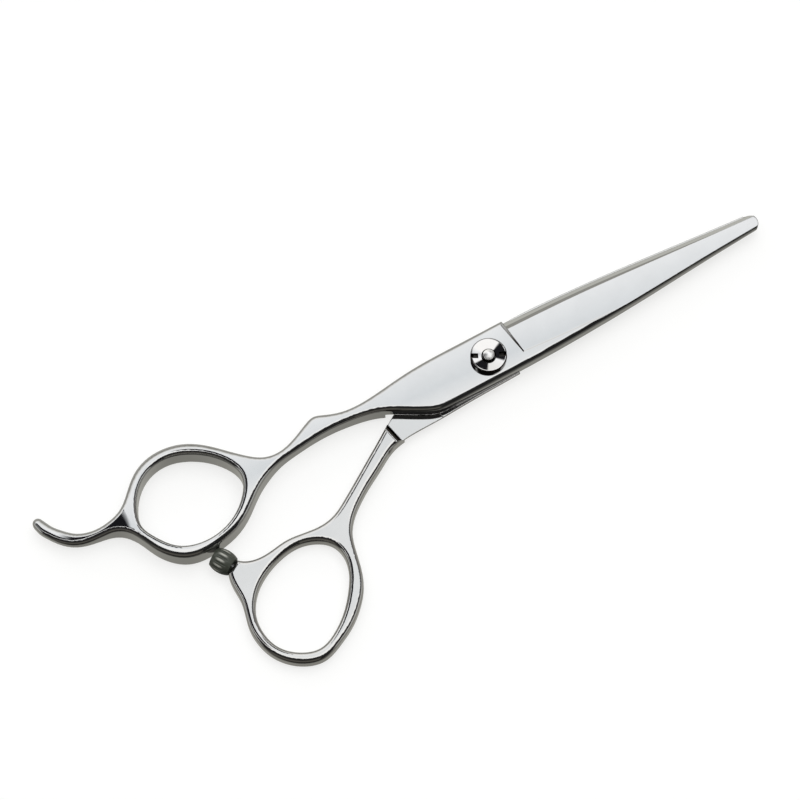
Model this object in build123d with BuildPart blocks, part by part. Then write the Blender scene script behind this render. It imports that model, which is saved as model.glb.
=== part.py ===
from build123d import *
from math import atan2, cos, degrees, hypot, radians, sin, sqrt, tan
import os

# Hair cutting shears, closed. Millimetres.
# Origin: the pivot axis on the resting plane. +X runs along the blades to the tips,
# +Z runs up the pivot bolt to the tension dial, and +Y is the finger ring's outer side.

# ---- heights along the pivot axis ------------------------------------------------------
head_proud = 0.2          # the bolt head stands this far below the thumb blade's outer face
blade_thickness = 2.8     # each half, at the pivot
blade_gap = 0.08          # between the two inner faces
thumb_outer = head_proud
thumb_inner = thumb_outer + blade_thickness
finger_inner = thumb_inner + blade_gap
finger_outer = finger_inner + blade_thickness

# ---- blades ----------------------------------------------------------------------------
ricasso_x = 7.0           # where the ground part of each blade starts, on the middle line
ground_lean = -0.17       # the start of the ground part leans, X over Y
ground_tilt = 0.9         # degrees, the flat falls towards the cutting edge
ground_depth = 0.12       # depth of the flat at its ridge
ground_wall = 20.0        # degrees, slope of the small wall round the flat
ridge_y = 2.0             # distance from the middle line to the ridge along the flat
ridge_lean = -0.067       # the ridge nears the back towards the tip, Y over X
edge_angle = 49.0         # degrees between the edge bevel and the inner face
tip_centre = (61.5, 1.6)
blank_end_x = tip_centre[0] + 4.6   # the blades are drawn to here and then cut at the tip
tip_radius = 2.0
tip_thickness = 0.8
edge_inset = 0.25         # each cutting edge stays this far inside the other blade's back
land_height = 0.6         # upright land above the thumb half's undercut near side

# ---- handles ---------------------------------------------------------------------------
finger_round = 0.9        # edge rounding of the finger half
thumb_round = 0.9         # edge rounding of the thumb half
ring_x = (-79.0, -54.0)   # the finger ring is full thickness between these
neck_lift = 1.5           # the finger shank's underside rises by this at its neck
rest_thickness = 2.9      # finger rest, at its tip
thumb_handle_top = 3.6    # top of the thumb ring
thumb_shank_top = thumb_inner + 1.4   # beside the step
finger_step_x = -23.6     # where the finger half becomes full thickness
thumb_step = (-23.65, -4.5)   # foot of the thumb half's step
step_lean = 13.0          # degrees, the step leans in plan
step_radius = 1.4         # hollow of the ground step
relief_x = -14.2          # the thumb half's inner face is relieved behind this
relief_depth = 0.25
rest_tip_centre = (-95.2, 11.5)
rest_tip_radius = 1.05

# ---- pivot -----------------------------------------------------------------------------
bolt_radius = 2.0
bolt_clearance = 0.04     # radial, bolt in bush
bush_wall = 0.66
bush_radius = bolt_radius + bolt_clearance + bush_wall
key_width = 2 * (bolt_radius + 0.3)   # square under the bolt head
key_clearance = 0.03
head_clearance = 0.05     # radial, head in its seat
head_radius = key_width / sqrt(2) + 0.25
head_thickness = 1.0
head_chamfer = 0.15
thread_radius = bolt_radius - 0.75
thread_clearance = 0.03   # radial, bolt in dial
dome_rise = 0.25
edge_break = 0.1          # small bevel on turned edges
flat_width = 2 * (bolt_radius - 0.4)  # across the bolt's two flats under the dial
flat_height = 0.5         # the flats end this far above the finger blade's face
washer_thickness = 0.22
washer_radius = bush_radius + 0.35   # the washers cover the bush and bear on the blade
washer_clearance = 0.15   # radial, washers on the bolt and in the dial
washer_gap = 0.03         # between the thrust washer and the click plate
click_thickness = 0.2
cone_thickness = 0.1      # spring washer
dial_recess_radius = washer_radius + washer_clearance
dial_radius = dial_recess_radius + 0.5
dial_height = 1.45        # from the finger blade's face to the rim's top
dial_gap = 0.06           # dial skirt above the finger blade
dial_recess = 0.72        # depth of the space for the washers, from the blade's face
dish_depth = 0.45
rim_round = 0.35
lip_width = 0.2           # steep lip round the bore
lip_depth = 0.25
notch_width = 1.05
notch_length = 1.6
notch_floor = 0.35        # above the dial's underside
notch_angle = 156.0
slide_washer_radius = 4.4
slide_washer_depth = 0.25
slide_washer_proud = 0.04
slide_washer_clearance = 0.05

# ---- bumper ----------------------------------------------------------------------------
bumper_radius = 2.45
bumper_waist = 0.5        # the barrel's ends are this much smaller in radius
bumper_seat = (-65.15, -14.3)  # middle of the lug's end face
ring_touch = (-67.81, -9.87)   # where the bumper's axis meets the finger ring's wall
ring_skew = 23.0          # degrees between the bumper's end face and the ring's wall
bumper_gap = 0.07         # between the bumper and the finger ring, when closed
bumper_height = bumper_radius + 0.15   # axis above the resting plane
bumper_run = (ring_touch[0] - bumper_seat[0], ring_touch[1] - bumper_seat[1])
bumper_angle = degrees(atan2(bumper_run[1], bumper_run[0]))   # in plan
bumper_end_radius = bumper_radius - bumper_waist
bumper_length = hypot(*bumper_run) - bumper_end_radius * tan(radians(ring_skew)) - bumper_gap
lug_width = 3.2
lug_gap = 0.05            # between the lug and the bumper
flute_count = 12
flute_radius = 0.22
flute_end = 0.75          # the flutes stop this far from each end
stud_radius = 0.65
stud_depth = 3.0          # into the lug, and into the bumper

# Outline of the finger half, from the finger rest's tip to the start of the blade tip.
finger_far_side = [
    (-93.2, 9.9), (-91.6, 7.9), (-89.6, 6.1), (-87.5, 5.15), (-85.0, 4.75), (-82.5, 4.95),
    (-80.0, 5.8), (-78.0, 7.4), (-76.0, 9.5), (-74.0, 11.3), (-71.0, 12.85), (-67.0, 13.4),
    (-63.0, 12.65), (-59.0, 10.4), (-55.5, 7.2), (-52.5, 4.4), (-50.0, 2.65), (-47.5, 2.0),
    (-45.0, 2.25), (-42.0, 3.35), (-39.0, 4.8), (-37.0, 5.4), (-35.0, 4.85), (-32.0, 3.85),
    (-28.0, 3.5), (-24.0, 3.85), (-20.0, 4.45), (-15.0, 5.1), (-8.0, 5.5), (0.0, 5.7),
    (10.0, 5.95), (20.0, 5.85), (30.0, 5.45), (40.0, 4.85), (50.0, 4.2), (blank_end_x, 3.3),
]
finger_near_side = [
    (-95.9, 10.0), (-95.0, 8.3), (-93.3, 6.0), (-91.3, 4.3), (-89.3, 3.4), (-87.3, 3.0),
    (-85.0, 2.8), (-83.3, 2.6), (-81.2, 1.7), (-79.2, -0.65), (-77.2, -4.65), (-75.1, -7.35),
    (-72.4, -9.2), (-69.0, -9.9), (-65.0, -9.5), (-61.0, -8.4), (-57.0, -6.0), (-53.3, -2.95),
    (-50.0, -1.05), (-47.0, 0.0), (-43.3, 0.6), (-39.2, 1.15), (-35.1, 1.45), (-31.1, 1.3),
    (-27.0, 0.75), (-24.0, -0.1), (-20.2, -2.05), (-16.8, -3.9), (-14.0, -5.0), (-11.0, -5.2),
    (0.0, -4.9), (10.0, -4.56), (20.0, -4.0), (30.0, -3.25), (40.0, -2.3), (50.0, -1.27),
    (blank_end_x, 0.2),
]
finger_hole = [
    (-77.4, 1.7), (-75.3, 7.0), (-71.4, 10.4), (-67.0, 11.3), (-61.7, 9.6), (-57.1, 5.6),
    (-55.3, 1.2), (-57.5, -3.3), (-62.1, -6.65), (-67.5, -7.7), (-72.7, -6.2), (-76.0, -2.4),
]

# Outline of the thumb half, from the bumper lug to the blade's end, on each side.
thumb_far_side = [
    (-62.4, -14.5), (-60.3, -15.1), (-57.5, -15.05), (-53.5, -14.45), (-49.5, -14.7),
    (-45.5, -14.9), (-42.5, -14.2), (-39.6, -12.6), (-35.6, -10.0), (-31.7, -7.4),
    (-27.7, -4.75), (-24.0, -2.2), (-20.0, 0.5), (-16.0, 2.9), (-11.0, 4.7), (-5.0, 5.4),
    (2.0, 5.75),
]
thumb_near_side = [
    (-66.9, -18.5), (-66.85, -21.4), (-67.4, -24.2), (-68.0, -27.3), (-67.8, -30.5),
    (-66.8, -33.6), (-65.0, -36.2), (-62.0, -38.5), (-57.8, -39.55),
    (-53.5, -38.1), (-49.5, -35.8), (-46.5, -33.1), (-44.2, -30.0), (-42.9, -26.5),
    (-42.1, -22.8), (-41.2, -19.6), (-39.2, -16.5), (-37.0, -14.5), (-34.0, -12.35),
    (-29.2, -9.45), (-25.6, -7.4), (-22.6, -6.6), (-14.5, -6.15), (-9.5, -5.8), (0.0, -5.25),
]
thumb_hole = [
    (-66.0, -27.6), (-65.0, -23.9), (-62.6, -20.7), (-59.1, -18.3), (-55.0, -16.8),
    (-51.6, -16.45), (-48.3, -17.3), (-45.7, -19.3), (-44.7, -22.3), (-45.3, -25.8),
    (-47.4, -29.6), (-50.1, -32.9), (-53.7, -35.8), (-57.6, -37.3), (-61.5, -36.2),
    (-64.6, -33.4),
]


def on_circle(centre, radius, angle):
    """Point in plan at an angle in degrees on a circle."""
    return (centre[0] + radius * cos(radians(angle)), centre[1] + radius * sin(radians(angle)))


def along(angle):
    """Unit direction in plan."""
    return (cos(radians(angle)), sin(radians(angle)))


def shifted(points, rise):
    """The same outline, moved along Y."""
    return [(x, y + rise) for x, y in points]


def blade_part(points):
    """The points of an outline that lie on the ground part of the blade."""
    return [(x, y) for x, y in points if x > ricasso_x + 1]


def ricasso_line(y):
    """X of the slanted line where the ground part of the finger blade starts."""
    return ricasso_x + ground_lean * y


def seat_point(out, across):
    """Point in plan, measured from the bumper's seat along and across its axis."""
    ahead = along(bumper_angle)
    side = along(bumper_angle - 90)
    return (
        bumper_seat[0] + out * ahead[0] + across * side[0],
        bumper_seat[1] + out * ahead[1] + across * side[1],
    )


def rounded_edges(builder, low, high):
    """Edges round the outlines between two heights: no upright edges, no cut ends."""
    found = []
    for edge in builder.edges():
        start, end = edge @ 0, edge @ 1
        upright = abs(start.X - end.X) < 1e-4 and abs(start.Y - end.Y) < 1e-4
        closed = (start - end).length < 1e-4
        straight_across = edge.geom_type == GeomType.LINE and abs(start.X - end.X) < 1e-4
        cut_end = straight_across or edge.center().X > blank_end_x - 1
        if low < edge.center().Z < high and not cut_end and (closed or not upright):
            found.append(edge)
    return found


far_out = 16.0            # past every outline of a blade
blade_end = blank_end_x + 2
bevel_height = blade_thickness + 0.4
bevel_inset = bevel_height / tan(radians(edge_angle))
undercut = thumb_inner - land_height

# ======================================================================================
# Cutters for the finger blade
# ======================================================================================
finger_edge = blade_part(finger_far_side)

with BuildPart() as finger_bevel:
    for height, inset in ((finger_inner, 0), (finger_inner + bevel_height, bevel_inset)):
        start_y = finger_edge[0][1] - inset
        with BuildSketch(Plane.XY.offset(height)):
            with BuildLine():
                edge_line = Spline((ricasso_line(start_y), start_y), *shifted(finger_edge, -inset))
                Polyline(
                    edge_line @ 1,
                    (blank_end_x, far_out),
                    (ricasso_line(far_out), far_out),
                    edge_line @ 0,
                )
            make_face()
    loft(ruled=True)

ground_plane = Plane(
    origin=(0, -ridge_y, finger_outer - ground_depth),
    x_dir=(1, 0, 0),
    z_dir=(0, -cos(radians(ground_tilt)), sin(radians(ground_tilt))),
)
# How far the blade's outer face has fallen, along its length.
blade_fall = [(35.0, -0.45), (52.0, -1.05)]
blade_end_fall = tip_thickness - blade_thickness


def ground_wall_plane(across, ahead):
    """Plane of the small wall: it crosses the flat's bottom on a line, and leans outwards."""
    rise = tan(radians(ground_wall))
    return Plane(
        origin=(ricasso_x, -ridge_y, finger_outer - ground_depth),
        x_dir=ahead,
        z_dir=(rise * across[0], rise * across[1], 1),
    )


with BuildPart() as finger_ground:
    with BuildSketch(ground_plane.offset(-far_out)):
        with BuildLine():
            flat = Spline(
                (ricasso_x - 4, 0),
                *blade_fall,
                (blade_end, blade_end_fall),
                tangents=[(1, 0), (1, -0.1)],
                tangent_scalars=[1.0, 1.0],
            )
            Polyline(flat @ 1, (blade_end, 3), (ricasso_x - 4, 3), flat @ 0)
        make_face()
    extrude(amount=2 * far_out)
    split(bisect_by=ground_wall_plane((1, -ground_lean), (ground_lean, 1, 0)), keep=Keep.TOP)
    split(bisect_by=ground_wall_plane((-ridge_lean, 1), (1, ridge_lean, 0)), keep=Keep.TOP)

with BuildPart() as tip_cutter:
    with BuildSketch():
        with BuildLine():
            tip_arc = ThreePointArc(
                on_circle(tip_centre, tip_radius, 90),
                on_circle(tip_centre, tip_radius, 0),
                on_circle(tip_centre, tip_radius, -90),
            )
            Polyline(
                tip_arc @ 1,
                (tip_centre[0], -far_out),
                (blade_end + 1, -far_out),
                (blade_end + 1, far_out),
                (tip_centre[0], far_out),
                tip_arc @ 0,
            )
        make_face()
    extrude(amount=finger_outer + 1)

# ======================================================================================
# Finger half
# ======================================================================================
rest_low = 195.0          # degrees, where the near side meets the finger rest's round tip
rest_high = 35.0
rest_end_x = rest_tip_centre[0] - rest_tip_radius - 2
rest_top_z = finger_outer - 1.45
rest_under_z = rest_top_z - rest_thickness

with BuildPart() as finger_blade:
    with BuildSketch():
        with BuildLine():
            far = Spline(
                on_circle(rest_tip_centre, rest_tip_radius, rest_high),
                *finger_far_side,
                tangents=[along(rest_high - 90), along(-5)],
                tangent_scalars=[1.0, 1.0],
            )
            near = Spline(
                on_circle(rest_tip_centre, rest_tip_radius, rest_low),
                *finger_near_side,
                tangents=[along(rest_low + 90), along(6)],
                tangent_scalars=[1.0, 1.0],
            )
            Line(far @ 1, near @ 1)
            ThreePointArc(near @ 0, on_circle(rest_tip_centre, rest_tip_radius, 115), far @ 0)
        make_face()
        with BuildLine():
            Spline(*finger_hole, periodic=True)
        make_face(mode=Mode.SUBTRACT)
    extrude(amount=finger_outer)
    # The top and the underside follow a side profile: the finger rest and the neck are
    # thinner than the ring, and the blade thins towards its tip.
    with BuildSketch(Plane.XZ.offset(-far_out - 2)):
        with BuildLine():
            rest_top = Spline(
                (rest_end_x, rest_top_z), (-86.5, finger_outer - 1.0), (ring_x[0], finger_outer),
                tangents=[(1, 0), (1, 0)],
                tangent_scalars=[1.0, 1.0],
            )
            Line(rest_top @ 1, (ricasso_x, finger_outer))
            blade_top = Spline(
                (ricasso_x, finger_outer),
                *shifted(blade_fall, finger_outer),
                (blade_end, finger_outer + blade_end_fall),
                tangents=[(1, 0), (1, -0.1)],
                tangent_scalars=[1.0, 1.0],
            )
            Polyline(
                blade_top @ 1, (blade_end, 0.4 * neck_lift), (finger_step_x, 0.4 * neck_lift)
            )
            neck = Spline(
                (finger_step_x, 0.4 * neck_lift),
                (-35.0, 0.8 * neck_lift),
                (-45.0, neck_lift),
                (ring_x[1], 0.0),
                tangents=[(-1, 0.08), (-1, 0)],
                tangent_scalars=[1.0, 1.0],
            )
            Line(neck @ 1, (ring_x[0], 0.0))
            rest_under = Spline(
                (ring_x[0], 0.0), (-86.5, 1.2), (rest_end_x, rest_under_z),
                tangents=[(-1, 0), (-1, 0)],
                tangent_scalars=[1.0, 1.0],
            )
            Line(rest_under @ 1, rest_top @ 0)
        make_face()
    extrude(amount=2 * far_out + 4, mode=Mode.INTERSECT)
    top_edges = rounded_edges(finger_blade, finger_inner + 0.1, finger_outer + 1)
    low_edges = rounded_edges(finger_blade, -1, finger_inner - 0.1)
    fillet(top_edges + low_edges, finger_round)
    # The inner face, from the step to the tip
    with BuildSketch():
        with Locations(((finger_step_x + blade_end) / 2, 0)):
            Rectangle(blade_end - finger_step_x, 2 * far_out)
    extrude(amount=finger_inner, mode=Mode.SUBTRACT)
    add(finger_bevel.part, mode=Mode.SUBTRACT)
    add(finger_ground.part, mode=Mode.SUBTRACT)
    add(tip_cutter.part, mode=Mode.SUBTRACT)
    # Bore for the pivot bush
    with BuildSketch():
        Circle(bush_radius)
    extrude(amount=finger_outer + 1, mode=Mode.SUBTRACT)

# ======================================================================================
# Cutters for the thumb blade
# ======================================================================================
thumb_edge = shifted(blade_part(finger_near_side), edge_inset)
thumb_ricasso_x = 4.6

with BuildPart() as thumb_bevel:
    for height, inset in ((thumb_inner, 0), (thumb_inner - bevel_height, bevel_inset)):
        with BuildSketch(Plane.XY.offset(height)):
            with BuildLine():
                edge_line = Spline(
                    (thumb_ricasso_x, thumb_edge[0][1] - 0.2 + inset), *shifted(thumb_edge, inset)
                )
                Polyline(
                    edge_line @ 1,
                    (blank_end_x, -far_out),
                    (thumb_ricasso_x, -far_out),
                    edge_line @ 0,
                )
            make_face()
    loft(ruled=True)

# Undercut of the near side, from the step to the start of the cutting edge.
undercut_line = [(x, y) for x, y in thumb_near_side if x > -23]
with BuildPart() as thumb_undercut:
    for height, inset in ((undercut, 0), (0, undercut)):
        with BuildSketch(Plane.XY.offset(height)):
            with BuildLine():
                edge_line = Spline(*shifted(undercut_line, inset), (thumb_ricasso_x, -5.0 + inset))
                Polyline(
                    edge_line @ 1,
                    (thumb_ricasso_x, -far_out),
                    (undercut_line[0][0], -far_out),
                    edge_line @ 0,
                )
            make_face()
    loft(ruled=True)

# The step: above the inner face, with a hollow at its foot.
step_plane = Plane(
    origin=(*thumb_step, 0),
    x_dir=(*along(step_lean), 0),
    z_dir=(*along(step_lean - 90), 0),
)
step_reach = blade_end - thumb_step[0] + 6
step_relief = relief_x - thumb_step[0]
with BuildPart() as thumb_step_cutter:
    with BuildSketch(step_plane.offset(-2 * far_out)):
        with BuildLine():
            hollow = RadiusArc(
                (-step_radius, thumb_inner - relief_depth + step_radius),
                (0, thumb_inner - relief_depth),
                step_radius,
            )
            Polyline(
                hollow @ 1,
                (step_relief, thumb_inner - relief_depth),
                (step_relief, thumb_inner),
                (step_reach, thumb_inner),
                (step_reach, finger_outer),
                (-step_radius, finger_outer),
                hollow @ 0,
            )
        make_face()
    extrude(amount=4 * far_out)

# ======================================================================================
# Thumb half
# ======================================================================================
thumb_back = shifted(blade_part(finger_far_side), edge_inset)
thumb_land = shifted(blade_part(finger_near_side), -0.15)
lug_end_x = -72.0
shank_x = -46.0
thumb_blade_end = thumb_outer - blade_end_fall

with BuildPart() as thumb_blade:
    with BuildSketch():
        with BuildLine():
            thumb_far = Spline(seat_point(0, lug_width / 2), *thumb_far_side, *thumb_back)
            thumb_near = Spline(seat_point(0, -lug_width / 2), *thumb_near_side, *thumb_land)
            Line(thumb_far @ 0, thumb_near @ 0)
            Line(thumb_far @ 1, thumb_near @ 1)
        make_face()
        with BuildLine():
            Spline(*thumb_hole, periodic=True)
        make_face(mode=Mode.SUBTRACT)
    extrude(amount=thumb_shank_top)
    with BuildSketch(Plane.XZ.offset(-far_out)):
        with BuildLine():
            Line((lug_end_x, thumb_handle_top), (shank_x, thumb_handle_top))
            shank_top = Spline(
                (shank_x, thumb_handle_top), (thumb_step[0], thumb_shank_top),
                tangents=[(1, 0), (1, 0)],
            )
            Polyline(shank_top @ 1, (blade_end, thumb_shank_top), (blade_end, thumb_blade_end))
            blade_under = Spline(
                (blade_end, thumb_blade_end),
                (52.0, thumb_outer + 1.05),
                (35.0, thumb_outer + 0.45),
                (ricasso_x, thumb_outer),
                tangents=[(-1, -0.1), (-1, 0)],
                tangent_scalars=[1.0, 1.0],
            )
            Line(blade_under @ 1, (-30.0, thumb_outer))
            shank_under = Spline(
                (-30.0, thumb_outer), (shank_x, 0.0), tangents=[(-1, 0), (-1, 0)]
            )
            Polyline(shank_under @ 1, (lug_end_x, 0.0), (lug_end_x, thumb_handle_top))
        make_face()
    extrude(amount=4 * far_out, mode=Mode.INTERSECT)
    fillet(rounded_edges(thumb_blade, -1, thumb_shank_top + 1), thumb_round)
    add(thumb_step_cutter.part, mode=Mode.SUBTRACT)
    add(thumb_bevel.part, mode=Mode.SUBTRACT)
    add(thumb_undercut.part, mode=Mode.SUBTRACT)
    add(tip_cutter.part, mode=Mode.SUBTRACT)
    # Seat for the bolt head, the square under it, and the slide washer's recess
    with BuildSketch():
        Circle(head_radius + head_clearance)
    extrude(amount=head_thickness, mode=Mode.SUBTRACT)
    with BuildSketch():
        Rectangle(key_width + 2 * key_clearance, key_width + 2 * key_clearance)
    extrude(amount=thumb_inner, mode=Mode.SUBTRACT)
    with BuildSketch(Plane.XY.offset(thumb_inner - slide_washer_depth)):
        Circle(slide_washer_radius + slide_washer_clearance)
    extrude(amount=blade_thickness, mode=Mode.SUBTRACT)
    # Hole for the bumper stud
    with BuildSketch(
        Plane(
            origin=(*seat_point(-stud_depth, 0), bumper_height),
            x_dir=(0, 0, 1),
            z_dir=(*along(bumper_angle), 0),
        )
    ):
        Circle(stud_radius)
    extrude(amount=stud_depth + 1, mode=Mode.SUBTRACT)

# ======================================================================================
# Pivot
# ======================================================================================
shank_end = finger_outer + flat_height
bolt_top = finger_outer + dial_height + 0.1
key_top = thumb_inner - slide_washer_depth
dome_edge = thread_radius - edge_break
# The ball radius of a cap this wide and this high
dome_ball = (dome_edge**2 + dome_rise**2) / (2 * dome_rise)

with BuildPart() as pivot_bolt:
    with BuildSketch(Plane.XZ):
        with BuildLine():
            dome = RadiusArc((dome_edge, bolt_top), (0, bolt_top + dome_rise), -dome_ball)
            Polyline(
                dome @ 1,
                (0, 0),
                (head_radius - head_chamfer, 0),
                (head_radius, head_chamfer),
                (head_radius, head_thickness),
                (bolt_radius, head_thickness),
                (bolt_radius, shank_end),
                (thread_radius, shank_end),
                (thread_radius, bolt_top - edge_break),
                dome @ 0,
            )
        make_face()
    revolve(axis=Axis.Z)
    with BuildSketch(Plane.XY.offset(head_thickness)):
        Rectangle(key_width, key_width)
    extrude(amount=key_top - head_thickness)
    # Two flats for the click plate
    with BuildSketch(Plane.XY.offset(finger_outer)):
        with Locations((flat_width / 2 + bolt_radius, 0), (-flat_width / 2 - bolt_radius, 0)):
            Rectangle(2 * bolt_radius, 3 * bolt_radius)
    extrude(amount=flat_height, mode=Mode.SUBTRACT)

with BuildPart() as pivot_bush:
    with BuildSketch(Plane.XY.offset(finger_inner)):
        Circle(bush_radius)
        Circle(bolt_radius + bolt_clearance, mode=Mode.SUBTRACT)
    extrude(amount=blade_thickness)

with BuildPart() as slide_washer:
    with BuildSketch(Plane.XY.offset(thumb_inner - slide_washer_depth)):
        Circle(slide_washer_radius)
        Circle(bolt_radius + washer_clearance, mode=Mode.SUBTRACT)
    extrude(amount=slide_washer_depth + slide_washer_proud)

with BuildPart() as thrust_washer:
    with BuildSketch(Plane.XY.offset(finger_outer)):
        Circle(washer_radius)
        Circle(bolt_radius + washer_clearance, mode=Mode.SUBTRACT)
    extrude(amount=washer_thickness)

click_low = finger_outer + washer_thickness + washer_gap
click_top = click_low + click_thickness
with BuildPart() as click_plate:
    with BuildSketch(Plane.XY.offset(click_low)):
        Circle(washer_radius)
        with BuildSketch(mode=Mode.PRIVATE) as keyed_hole:
            Circle(bolt_radius)
            Rectangle(flat_width, 3 * bolt_radius, mode=Mode.INTERSECT)
        add(keyed_hole.sketch, mode=Mode.SUBTRACT)
    extrude(amount=click_top - click_low)

# A slightly coned spring washer, between the click plate and the dial
cone_top = finger_outer + dial_recess - 0.02
cone_bore = bolt_radius + washer_clearance
with BuildPart() as spring_washer:
    with BuildSketch(Plane.XZ):
        Polygon(
            (cone_bore, click_top),
            (washer_radius, cone_top - cone_thickness),
            (washer_radius, cone_top),
            (cone_bore, click_top + cone_thickness),
            align=None,
        )
    revolve(axis=Axis.Z)

dial_low = finger_outer + dial_gap
dial_top = finger_outer + dial_height
dish_low = dial_top - dish_depth
bore_radius = thread_radius + thread_clearance
with BuildPart() as tension_dial:
    with BuildSketch(Plane.XZ):
        with BuildLine():
            rim = RadiusArc(
                (dial_radius, dial_top - rim_round), (dial_radius - rim_round, dial_top), -rim_round
            )
            Polyline(
                rim @ 1,
                (bore_radius + lip_width, dish_low),
                (bore_radius, dish_low - lip_depth),
                (bore_radius, finger_outer + dial_recess),
                (dial_recess_radius, finger_outer + dial_recess),
                (dial_recess_radius, dial_low),
                (dial_radius - edge_break, dial_low),
                (dial_radius, dial_low + edge_break),
                rim @ 0,
            )
        make_face()
    revolve(axis=Axis.Z)
    # Two opposed notches, for a coin or a key
    with BuildSketch(Plane.XY.offset(dial_low + notch_floor)):
        with PolarLocations(dial_radius, 2, start_angle=notch_angle):
            Rectangle(2 * notch_length, notch_width)
    extrude(amount=dial_height, mode=Mode.SUBTRACT)

# ======================================================================================
# Bumper
# ======================================================================================
bumper_plane = Plane(
    origin=(*bumper_seat, bumper_height),
    x_dir=(*along(bumper_angle - 90), 0),
    z_dir=(*along(bumper_angle), 0),
)

with BuildPart() as bumper_stud:
    with BuildSketch(bumper_plane.offset(-stud_depth)):
        Circle(stud_radius)
    extrude(amount=2 * stud_depth)

with BuildPart() as bumper:
    with BuildSketch(bumper_plane * Plane.XZ):
        with BuildLine():
            barrel = ThreePointArc(
                (bumper_end_radius, lug_gap),
                (bumper_radius, bumper_length / 2),
                (bumper_end_radius, bumper_length),
            )
            Polyline(barrel @ 1, (0, bumper_length), (0, lug_gap), barrel @ 0)
        make_face()
    revolve(axis=Axis(bumper_plane.origin, bumper_plane.z_dir))
    with BuildSketch(bumper_plane.offset(flute_end)):
        with PolarLocations(bumper_radius, flute_count):
            Circle(flute_radius)
    extrude(amount=bumper_length - 2 * flute_end, mode=Mode.SUBTRACT)
    with BuildSketch(bumper_plane):
        Circle(stud_radius)
    extrude(amount=stud_depth, mode=Mode.SUBTRACT)

pieces = {
    "finger_blade": finger_blade,
    "pivot_bush": pivot_bush,
    "thrust_washer": thrust_washer,
    "thumb_blade": thumb_blade,
    "slide_washer": slide_washer,
    "pivot_bolt": pivot_bolt,
    "click_plate": click_plate,
    "spring_washer": spring_washer,
    "tension_dial": tension_dial,
    "bumper_stud": bumper_stud,
    "bumper": bumper,
}
os.makedirs("parts", exist_ok=True)
for name, piece in pieces.items():
    piece.part.label = name
    export_step(piece.part, f"parts/{name}.step")
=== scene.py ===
from math import cos, pi, radians, sin

import bpy
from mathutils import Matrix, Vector

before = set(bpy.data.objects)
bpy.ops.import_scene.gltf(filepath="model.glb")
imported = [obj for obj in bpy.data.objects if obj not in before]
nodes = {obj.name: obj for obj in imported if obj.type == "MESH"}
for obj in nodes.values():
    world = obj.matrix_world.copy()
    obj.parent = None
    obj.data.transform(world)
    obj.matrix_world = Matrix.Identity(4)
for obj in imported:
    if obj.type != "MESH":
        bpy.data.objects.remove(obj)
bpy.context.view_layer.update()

MM = 0.001

# ---- camera: the photo's viewing angle ------------------------------------------------
VIEW_AZIMUTH = radians(-28.0)
VIEW_ELEVATION = radians(69.0)
LENS_MM = 150.0
SENSOR_MM = 36.0
FRAME_WIDTH = 0.160          # metres across the picture at the object
TARGET = Vector((-0.0200, 0.0003, 0.0057))

back = Vector((
    sin(VIEW_AZIMUTH) * cos(VIEW_ELEVATION),
    -cos(VIEW_AZIMUTH) * cos(VIEW_ELEVATION),
    sin(VIEW_ELEVATION),
))
camera_data = bpy.data.cameras.new("camera")
camera_data.lens = LENS_MM
camera_data.sensor_width = SENSOR_MM
camera_data.clip_start = 0.01
camera = bpy.data.objects.new("camera", camera_data)
camera.location = TARGET + back * (FRAME_WIDTH * LENS_MM / SENSOR_MM)
camera.rotation_euler = (pi / 2 - VIEW_ELEVATION, 0, VIEW_AZIMUTH)
bpy.context.scene.collection.objects.link(camera)
bpy.context.scene.camera = camera
bpy.context.scene.view_settings.view_transform = "Standard"
bpy.context.scene.view_settings.look = "None"

# Level directions of the room: towards the far side and towards the right of the picture
FAR = (-sin(VIEW_AZIMUTH), cos(VIEW_AZIMUTH), 0.0)
RIGHT = (cos(VIEW_AZIMUTH), sin(VIEW_AZIMUTH), 0.0)
UP = (0.0, 0.0, 1.0)


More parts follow.
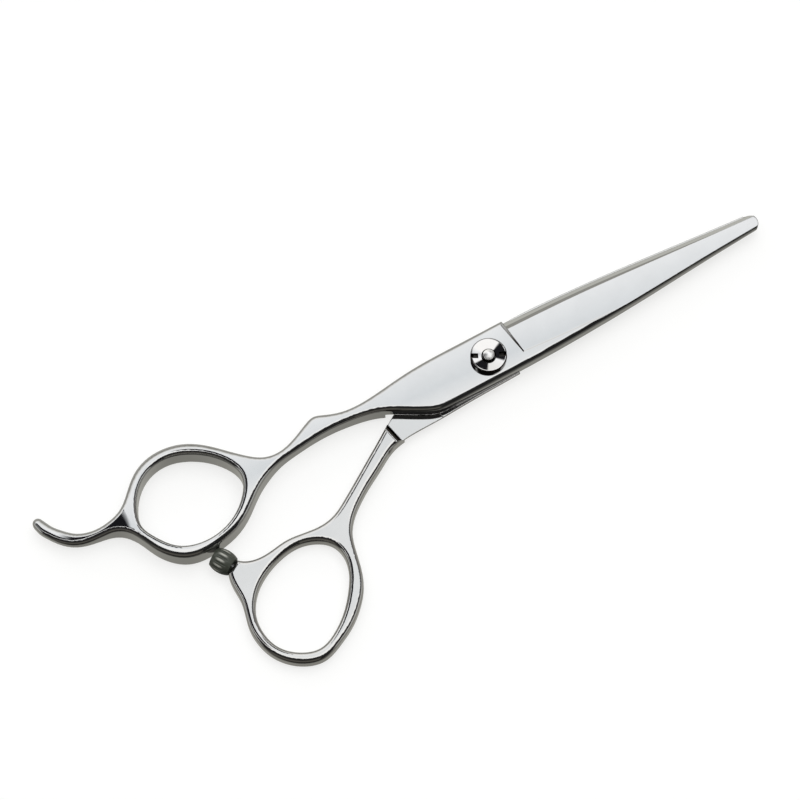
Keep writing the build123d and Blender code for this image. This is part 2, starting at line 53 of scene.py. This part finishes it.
class Nodes:
    """Short calls for building a node tree."""

    def __init__(self, tree):
        self.tree = tree

    def add(self, kind, **settings):
        node = self.tree.nodes.new(kind)
        for key, value in settings.items():
            setattr(node, key, value)
        return node

    def put(self, value, socket):
        if isinstance(value, bpy.types.NodeSocket):
            self.tree.links.new(value, socket)
        else:
            socket.default_value = value

    def math(self, operation, first, second=0.0, clamp=False):
        node = self.add("ShaderNodeMath", operation=operation, use_clamp=clamp)
        self.put(first, node.inputs[0])
        self.put(second, node.inputs[1])
        return node.outputs[0]

    def dot(self, vector, direction):
        node = self.add("ShaderNodeVectorMath", operation="DOT_PRODUCT")
        self.put(vector, node.inputs[0])
        node.inputs[1].default_value = direction
        return node.outputs["Value"]

    def ease(self, value, low, high, to_low=0.0, to_high=1.0):
        node = self.add("ShaderNodeMapRange", interpolation_type="SMOOTHSTEP")
        self.put(value, node.inputs["Value"])
        node.inputs["From Min"].default_value = low
        node.inputs["From Max"].default_value = high
        node.inputs["To Min"].default_value = to_low
        node.inputs["To Max"].default_value = to_high
        return node.outputs["Result"]

    def ramp(self, value, stops):
        node = self.add("ShaderNodeValToRGB")
        self.put(value, node.inputs["Fac"])
        elements = node.color_ramp.elements
        while len(elements) < len(stops):
            elements.new(0.5)
        for element, (place, colour) in zip(elements, stops):
            element.position = place
            element.color = (*colour, 1.0)
        return node.outputs["Color"]

    def mix(self, factor, first, second):
        node = self.add("ShaderNodeMix", data_type="RGBA")
        self.put(factor, node.inputs["Factor"])
        for value, socket in ((first, node.inputs[6]), (second, node.inputs[7])):
            if not isinstance(value, bpy.types.NodeSocket):
                value = (*value, 1.0)
            self.put(value, socket)
        return node.outputs[2]

    def parts(self, vector):
        node = self.add("ShaderNodeSeparateXYZ")
        self.put(vector, node.inputs[0])
        return node.outputs

    def bump(self, height, strength, distance, normal=None):
        node = self.add("ShaderNodeBump")
        self.put(height, node.inputs["Height"])
        node.inputs["Strength"].default_value = strength
        node.inputs["Distance"].default_value = distance
        if normal is not None:
            self.put(normal, node.inputs["Normal"])
        return node.outputs["Normal"]

    def noise(self, vector, scale, detail=2.0, roughness=0.5):
        node = self.add("ShaderNodeTexNoise")
        self.put(vector, node.inputs["Vector"])
        node.inputs["Scale"].default_value = scale
        node.inputs["Detail"].default_value = detail
        node.inputs["Roughness"].default_value = roughness
        return node.outputs["Fac"]


# ---- studio: what the polished steel reflects ------------------------------------------
SKY_STRENGTH = 1.55
BLACK = (0.01, 0.01, 0.012)
PANEL_GREY = (0.42, 0.42, 0.41)

world = bpy.data.worlds.new("studio")
bpy.context.scene.world = world
world.use_nodes = True
world.node_tree.nodes.clear()
w = Nodes(world.node_tree)
direction = w.add("ShaderNodeTexCoord").outputs["Generated"]
far = w.dot(direction, FAR)
right = w.dot(direction, RIGHT)
height = w.dot(direction, UP)
# Angle round the picture's upright plane:
# 0 at the far horizon, 0.5 overhead, 1 at the near horizon
turn = w.math("DIVIDE", w.math("ARCTAN2", height, far), pi)
overhead_glow = w.ramp(turn, [
    (0.00, (0.16, 0.155, 0.14)),
    (0.08, (0.30, 0.295, 0.27)),
    (0.20, (0.78, 0.78, 0.77)),
    (0.31, (0.97, 0.98, 1.00)),
    (0.39, (0.78, 0.81, 0.84)),
    (0.45, (1.00, 1.00, 1.00)),
    (0.535, (1.00, 1.00, 1.00)),
    (0.56, (0.02, 0.02, 0.02)),
    (0.76, (0.02, 0.02, 0.02)),
    (0.86, (0.085, 0.08, 0.07)),
    (1.00, (0.085, 0.08, 0.07)),
])
side_walls = w.ramp(turn, [
    (0.00, (0.16, 0.155, 0.14)),
    (0.10, (0.22, 0.21, 0.20)),
    (0.30, (0.10, 0.10, 0.10)),
    (0.57, (0.02, 0.02, 0.02)),
    (1.00, (0.01, 0.01, 0.01)),
])
# The softboxes end in dark walls on the left and on the right
sky = w.mix(w.ease(right, -0.80, -0.62), side_walls, overhead_glow)
sky = w.mix(w.ease(right, 0.43, 0.50), sky, side_walls)
# A grey panel at each side, which the level faces show when they are seen from the ends
sky = w.mix(w.ease(w.math("ABSOLUTE", right), 0.84, 0.92), sky, PANEL_GREY)
# Two dark gaps between the softboxes, which the dish of the tension dial shows:
# direction (right, far, up) and reach in radians
GAPS = (
    ((-0.45, 0.24, 0.86), 0.32),
    ((0.21, 0.68, 0.70), 0.19),
)
for (to_right, to_far, up), reach in GAPS:
    towards = [to_right * r + to_far * f + up * z for r, f, z in zip(RIGHT, FAR, UP)]
    near_gap = w.dot(direction, towards)
    sky = w.mix(w.ease(near_gap, cos(1.1 * reach), cos(0.85 * reach)), sky, BLACK)
# Below the horizon the steel sees the table: dark towards the camera, lighter on the far side
table = w.ramp(w.math("MULTIPLY", w.math("ADD", far, 1.0), 0.5), [
    (0.035, (0.015, 0.015, 0.013)),
    (0.15, (0.06, 0.059, 0.054)),
    (0.32, (0.20, 0.197, 0.18)),
    (0.50, (0.25, 0.246, 0.225)),
    (0.68, (0.28, 0.276, 0.255)),
    (0.93, (0.36, 0.355, 0.335)),
])
sky = w.mix(w.ease(height, -0.01, 0.01), table, sky)
background = w.add("ShaderNodeBackground")
w.put(sky, background.inputs["Color"])
background.inputs["Strength"].default_value = SKY_STRENGTH
w.put(background.outputs[0], w.add("ShaderNodeOutputWorld").inputs["Surface"])

# Soft overhead light on the floor and the rubber
LIGHT_SIDE = 1.2
LIGHT_HEIGHT = 0.9
LIGHT_WATTS = 6.0

light_data = bpy.data.lights.new("overhead", "AREA")
light_data.shape = "RECTANGLE"
light_data.size = LIGHT_SIDE
light_data.size_y = LIGHT_SIDE
light_data.energy = LIGHT_WATTS
overhead = bpy.data.objects.new("overhead", light_data)
overhead.location = (0.0, 0.0, LIGHT_HEIGHT)
overhead.visible_glossy = False
bpy.context.scene.collection.objects.link(overhead)

# ---- floor -----------------------------------------------------------------------------
FLOOR_HALF = 3.0
FLOOR_CORNERS = ((-1, -1), (1, -1), (1, 1), (-1, 1))

floor_points = [(FLOOR_HALF * x, FLOOR_HALF * y, 0.0) for x, y in FLOOR_CORNERS]
floor_mesh = bpy.data.meshes.new("floor")
floor_mesh.from_pydata(floor_points, [], [(0, 1, 2, 3)])
floor = bpy.data.objects.new("floor", floor_mesh)
bpy.context.scene.collection.objects.link(floor)
# The camera sees the white floor, but the steel shows the room's table in its place
floor.visible_glossy = False
floor.visible_diffuse = False
floor.visible_shadow = False


# ---- materials ---------------------------------------------------------------------------
def new_material(name):
    """A material with only a Principled shader and its output, and calls for more nodes."""
    material = bpy.data.materials.new(name)
    material.use_nodes = True
    tree = Nodes(material.node_tree)
    shader = next(n for n in material.node_tree.nodes if n.type == "BSDF_PRINCIPLED")
    return material, tree, shader


def place_of(t):
    """Place on the piece: it equals the CAD place while the shears are closed."""
    return t.add("ShaderNodeTexCoord").outputs["Object"]


def normal_of(t):
    """Direction that the piece's surface faces, which turns with the piece."""
    return t.add("ShaderNodeTexCoord").outputs["Normal"]


def both(t, first, second):
    """The product of two masks."""
    return t.math("MULTIPLY", first, second)


def within(t, value, middle, inner, outer):
    """1 up to inner from the middle, falling to 0 at outer."""
    away = t.math("ABSOLUTE", t.math("SUBTRACT", value, middle))
    return t.ease(away, inner, outer, 1.0, 0.0)


def paper(name, colour, glow):
    """Matt paper with a fine tooth, lit from within a little so that shadows stay faint."""
    material, t, shader = new_material(name)
    tooth = t.noise(place_of(t), 900.0, 3.0)
    stops = [(0.3, tuple(0.98 * c for c in colour)), (0.7, colour)]
    t.put(t.ramp(tooth, stops), shader.inputs["Base Color"])
    shader.inputs["Roughness"].default_value = 0.9
    shader.inputs["Specular IOR Level"].default_value = 0.1
    shader.inputs["Emission Color"].default_value = (1.0, 1.0, 0.99, 1.0)
    shader.inputs["Emission Strength"].default_value = glow
    return material


floor.data.materials.append(paper("white_paper", (0.32, 0.32, 0.32), 0.72))


# Places in the CAD model that the shading follows
STEP_MIDDLE_X = -24.3 * MM
STEP_TURN = radians(13.0)
INNER_FACE_Z = 2.5 * MM      # just under the thumb half's inner face
BLADE_START_X = 6.0 * MM
BEVEL_SPLIT_Z = 4.35 * MM
FLAT_START_X = 7.0 * MM
FLAT_Z = 5.2 * MM            # just under the finger blade's flat
NOTCH_TOP_Z = 6.5 * MM       # between the notches' floor and the dial's dish
# Dark colour painted as shade into the step's hollow, onto the flat's small wall and on the
# dial's and bolt's walls
PAINTED_SHADE = (0.035, 0.03, 0.025)


def upright_faces(t):
    """1 on upright faces, 0 on level ones."""
    level = t.math("ABSOLUTE", t.parts(normal_of(t))[2])
    return t.ease(level, 0.80, 0.95, 1.0, 0.0)


def step_hollow(t):
    """1 in the ground hollow at the foot of the thumb half's step, where shade is painted."""
    x, _, z = t.parts(place_of(t))
    ahead = (cos(STEP_TURN), sin(STEP_TURN), 0.0)
    slope = t.ease(t.dot(normal_of(t), ahead), 0.10, 0.30)
    nearby = within(t, x, STEP_MIDDLE_X, 2.4 * MM, 3.0 * MM)
    above = t.ease(z, INNER_FACE_Z, INNER_FACE_Z + 0.2 * MM)
    return both(t, both(t, slope, nearby), above)


def ground_boundary(t):
    """1 on the small wall where the finger blade's flat starts, fading to the far side, where
    shade is painted.
    """
    x, y, z = t.parts(place_of(t))
    slope = t.ease(t.parts(normal_of(t))[0], 0.12, 0.25)
    nearby = within(t, x, FLAT_START_X, 1.4 * MM, 1.6 * MM)
    on_top = t.ease(z, FLAT_Z, FLAT_Z + 0.2 * MM)
    strength = t.ease(y, 0.0, 4.5 * MM, 1.0, 0.35)
    return both(t, both(t, slope, nearby), both(t, on_top, strength))


def finger_shade(t, tone):
    """Painted reflection on the edge bevel, a light strip outside a dark one, and painted shade
    on the flat's small wall.
    """
    x, _, z = t.parts(place_of(t))
    facing_out = t.ease(t.parts(normal_of(t))[1], 0.45, 0.60)
    on_blade = t.ease(x, BLADE_START_X, BLADE_START_X + 0.5 * MM)
    outer_strip = t.ease(z, BEVEL_SPLIT_Z, BEVEL_SPLIT_Z + 0.2 * MM, 1.0, 0.0)
    painted_bevel_strips = t.mix(outer_strip, (0.36, 0.36, 0.345), (0.74, 0.75, 0.73))
    tone = t.mix(both(t, facing_out, on_blade), tone, painted_bevel_strips)
    # Painted shade on the small wall where the flat starts
    return t.mix(ground_boundary(t), tone, PAINTED_SHADE)


def thumb_shade(t, tone):
    """Paints shade into the step's hollow."""
    return t.mix(step_hollow(t), tone, PAINTED_SHADE)


def dial_shade(t, tone):
    """Painted shade: the dial's walls and its notches are painted dark, only the dish keeps the
    steel's colour.
    """
    z = t.parts(place_of(t))[2]
    low_down = t.ease(z, NOTCH_TOP_Z, NOTCH_TOP_Z + 0.2 * MM, 1.0, 0.0)
    return t.mix(t.math("MAXIMUM", upright_faces(t), low_down), tone, PAINTED_SHADE)


def bolt_shade(t, tone):
    """Painted shade: the wall under the domed end is painted dark, only the domed end keeps the
    steel's colour.
    """
    z = t.parts(place_of(t))[2]
    high_up = t.ease(z, NOTCH_TOP_Z - 0.1 * MM, NOTCH_TOP_Z)
    return t.mix(both(t, upright_faces(t), high_up), tone, PAINTED_SHADE)


CROWN_REACH = 5.0 * MM


def polished(name, colour, roughness, waviness=0.0, edge=0.0, crown=0.0, shade=None):
    """Mirror-polished metal: faint waves from hand polishing, fine haze and hairline scratches.

    crown is the tilt, in radians, that the broad faces reach at CROWN_REACH from the middle
    line, and shade paints shade and reflections onto some of the faces."""
    material, t, shader = new_material(name)
    place = place_of(t)
    haze = t.noise(place, 260.0, 4.0, 0.6)
    tone = t.ramp(haze, [(0.35, tuple(0.97 * c for c in colour)), (0.65, colour)])
    if shade:
        tone = shade(t, tone)
    t.put(tone, shader.inputs["Base Color"])
    t.put(t.ease(haze, 0.3, 0.7, 0.7 * roughness, 1.3 * roughness), shader.inputs["Roughness"])
    shader.inputs["Metallic"].default_value = 1.0
    normal = None
    if edge:
        soft_edges = t.add("ShaderNodeBevel", samples=8)
        soft_edges.inputs["Radius"].default_value = edge
        normal = soft_edges.outputs["Normal"]
    stretch = t.add("ShaderNodeMapping")
    t.put(place, stretch.inputs["Vector"])
    stretch.inputs["Scale"].default_value = (0.06, 1.0, 1.0)
    scratches = t.noise(stretch.outputs["Vector"], 9000.0, 2.0)
    normal = t.bump(scratches, 0.03, 0.02 * MM, normal)
    if waviness:
        normal = t.bump(t.noise(place, 110.0, 1.0), waviness, 0.1 * MM, normal)
    if crown:
        y = t.parts(place)[1]
        fall = t.math("MULTIPLY", t.math("MULTIPLY", y, y), -0.5 * crown / CROWN_REACH)
        normal = t.bump(fall, 1.0, 1.0, normal)
    t.put(normal, shader.inputs["Normal"])
    return material


def plain(name, colour, roughness, metallic):
    """Unpolished small part: turning marks as a fine haze."""
    material, t, shader = new_material(name)
    marks = t.noise(place_of(t), 1800.0, 3.0)
    t.put(
        t.ramp(marks, [(0.3, tuple(0.9 * c for c in colour)), (0.7, colour)]),
        shader.inputs["Base Color"],
    )
    t.put(t.ease(marks, 0.3, 0.7, 0.8 * roughness, 1.2 * roughness), shader.inputs["Roughness"])
    shader.inputs["Metallic"].default_value = metallic
    return material


# The bumper's barrel in the CAD model
BUMPER_RIBS = 12
BUMPER_SEAT = Vector((-65.15, -14.3, 2.6)) * MM
BUMPER_TURN = radians(121.0)
BUMPER_AXIS = Vector((cos(BUMPER_TURN), sin(BUMPER_TURN), 0.0))
BUMPER_SIDE = Vector((sin(BUMPER_TURN), -cos(BUMPER_TURN), 0.0))
BUMPER_MIDDLE = 2.4 * MM     # from the seat


def ribbed_rubber(name):
    """Dull rubber with a highlight painted on the rib crests halfway along."""
    material, t, shader = new_material(name)
    place = place_of(t)
    along = t.math("SUBTRACT", t.dot(place, BUMPER_AXIS), BUMPER_SEAT.dot(BUMPER_AXIS))
    across = t.math("SUBTRACT", t.dot(place, BUMPER_SIDE), BUMPER_SEAT.dot(BUMPER_SIDE))
    above = t.math("SUBTRACT", t.parts(place)[2], BUMPER_SEAT.z)
    turned = t.math("MULTIPLY", t.math("ARCTAN2", above, across), BUMPER_RIBS)
    crest = t.ease(t.math("COSINE", turned), -0.95, -0.2, 1.0, 0.0)
    painted_highlight = both(t, crest, within(t, along, BUMPER_MIDDLE, 0.3 * MM, 1.3 * MM))
    grain = t.noise(place, 1800.0, 3.0)
    rubber = t.ramp(grain, [(0.3, (0.050, 0.056, 0.044)), (0.7, (0.062, 0.068, 0.054))])
    # Painted highlight on the rib crests halfway along the barrel
    t.put(t.mix(painted_highlight, rubber, (0.42, 0.42, 0.38)), shader.inputs["Base Color"])
    shader.inputs["Roughness"].default_value = 0.34
    return material


FINGER_STEEL = (0.55, 0.55, 0.545)
THUMB_STEEL = (0.565, 0.558, 0.545)
DIAL_STEEL = (0.62, 0.61, 0.60)
EDGE = 0.25 * MM             # the halves' sharp edges look rounded this much
WAVES = 0.05

finishes = {
    "finger_blade": polished("finger_steel", FINGER_STEEL, 0.05, WAVES, EDGE, 0.09, finger_shade),
    "thumb_blade": polished("thumb_steel", THUMB_STEEL, 0.05, WAVES, EDGE, shade=thumb_shade),
    "tension_dial": polished("dial_steel", DIAL_STEEL, 0.05, shade=dial_shade),
    "pivot_bolt": polished("bolt_steel", (0.88, 0.87, 0.85), 0.34, shade=bolt_shade),
    "pivot_bush": plain("bronze", (0.60, 0.42, 0.20), 0.35, 1.0),
    "slide_washer": plain("slide_plastic", (0.80, 0.80, 0.77), 0.45, 0.0),
    "thrust_washer": plain("washer_steel", (0.50, 0.50, 0.50), 0.30, 1.0),
    "click_plate": plain("click_steel", (0.46, 0.46, 0.46), 0.32, 1.0),
    "spring_washer": plain("black_spring_steel", (0.05, 0.047, 0.042), 0.40, 1.0),
    "bumper_stud": plain("stud_steel", (0.50, 0.50, 0.50), 0.30, 1.0),
    "bumper": ribbed_rubber("bumper_rubber"),
}
for name, finish in finishes.items():
    piece = nodes[name]
    piece.data.materials.clear()
    piece.data.materials.append(finish)
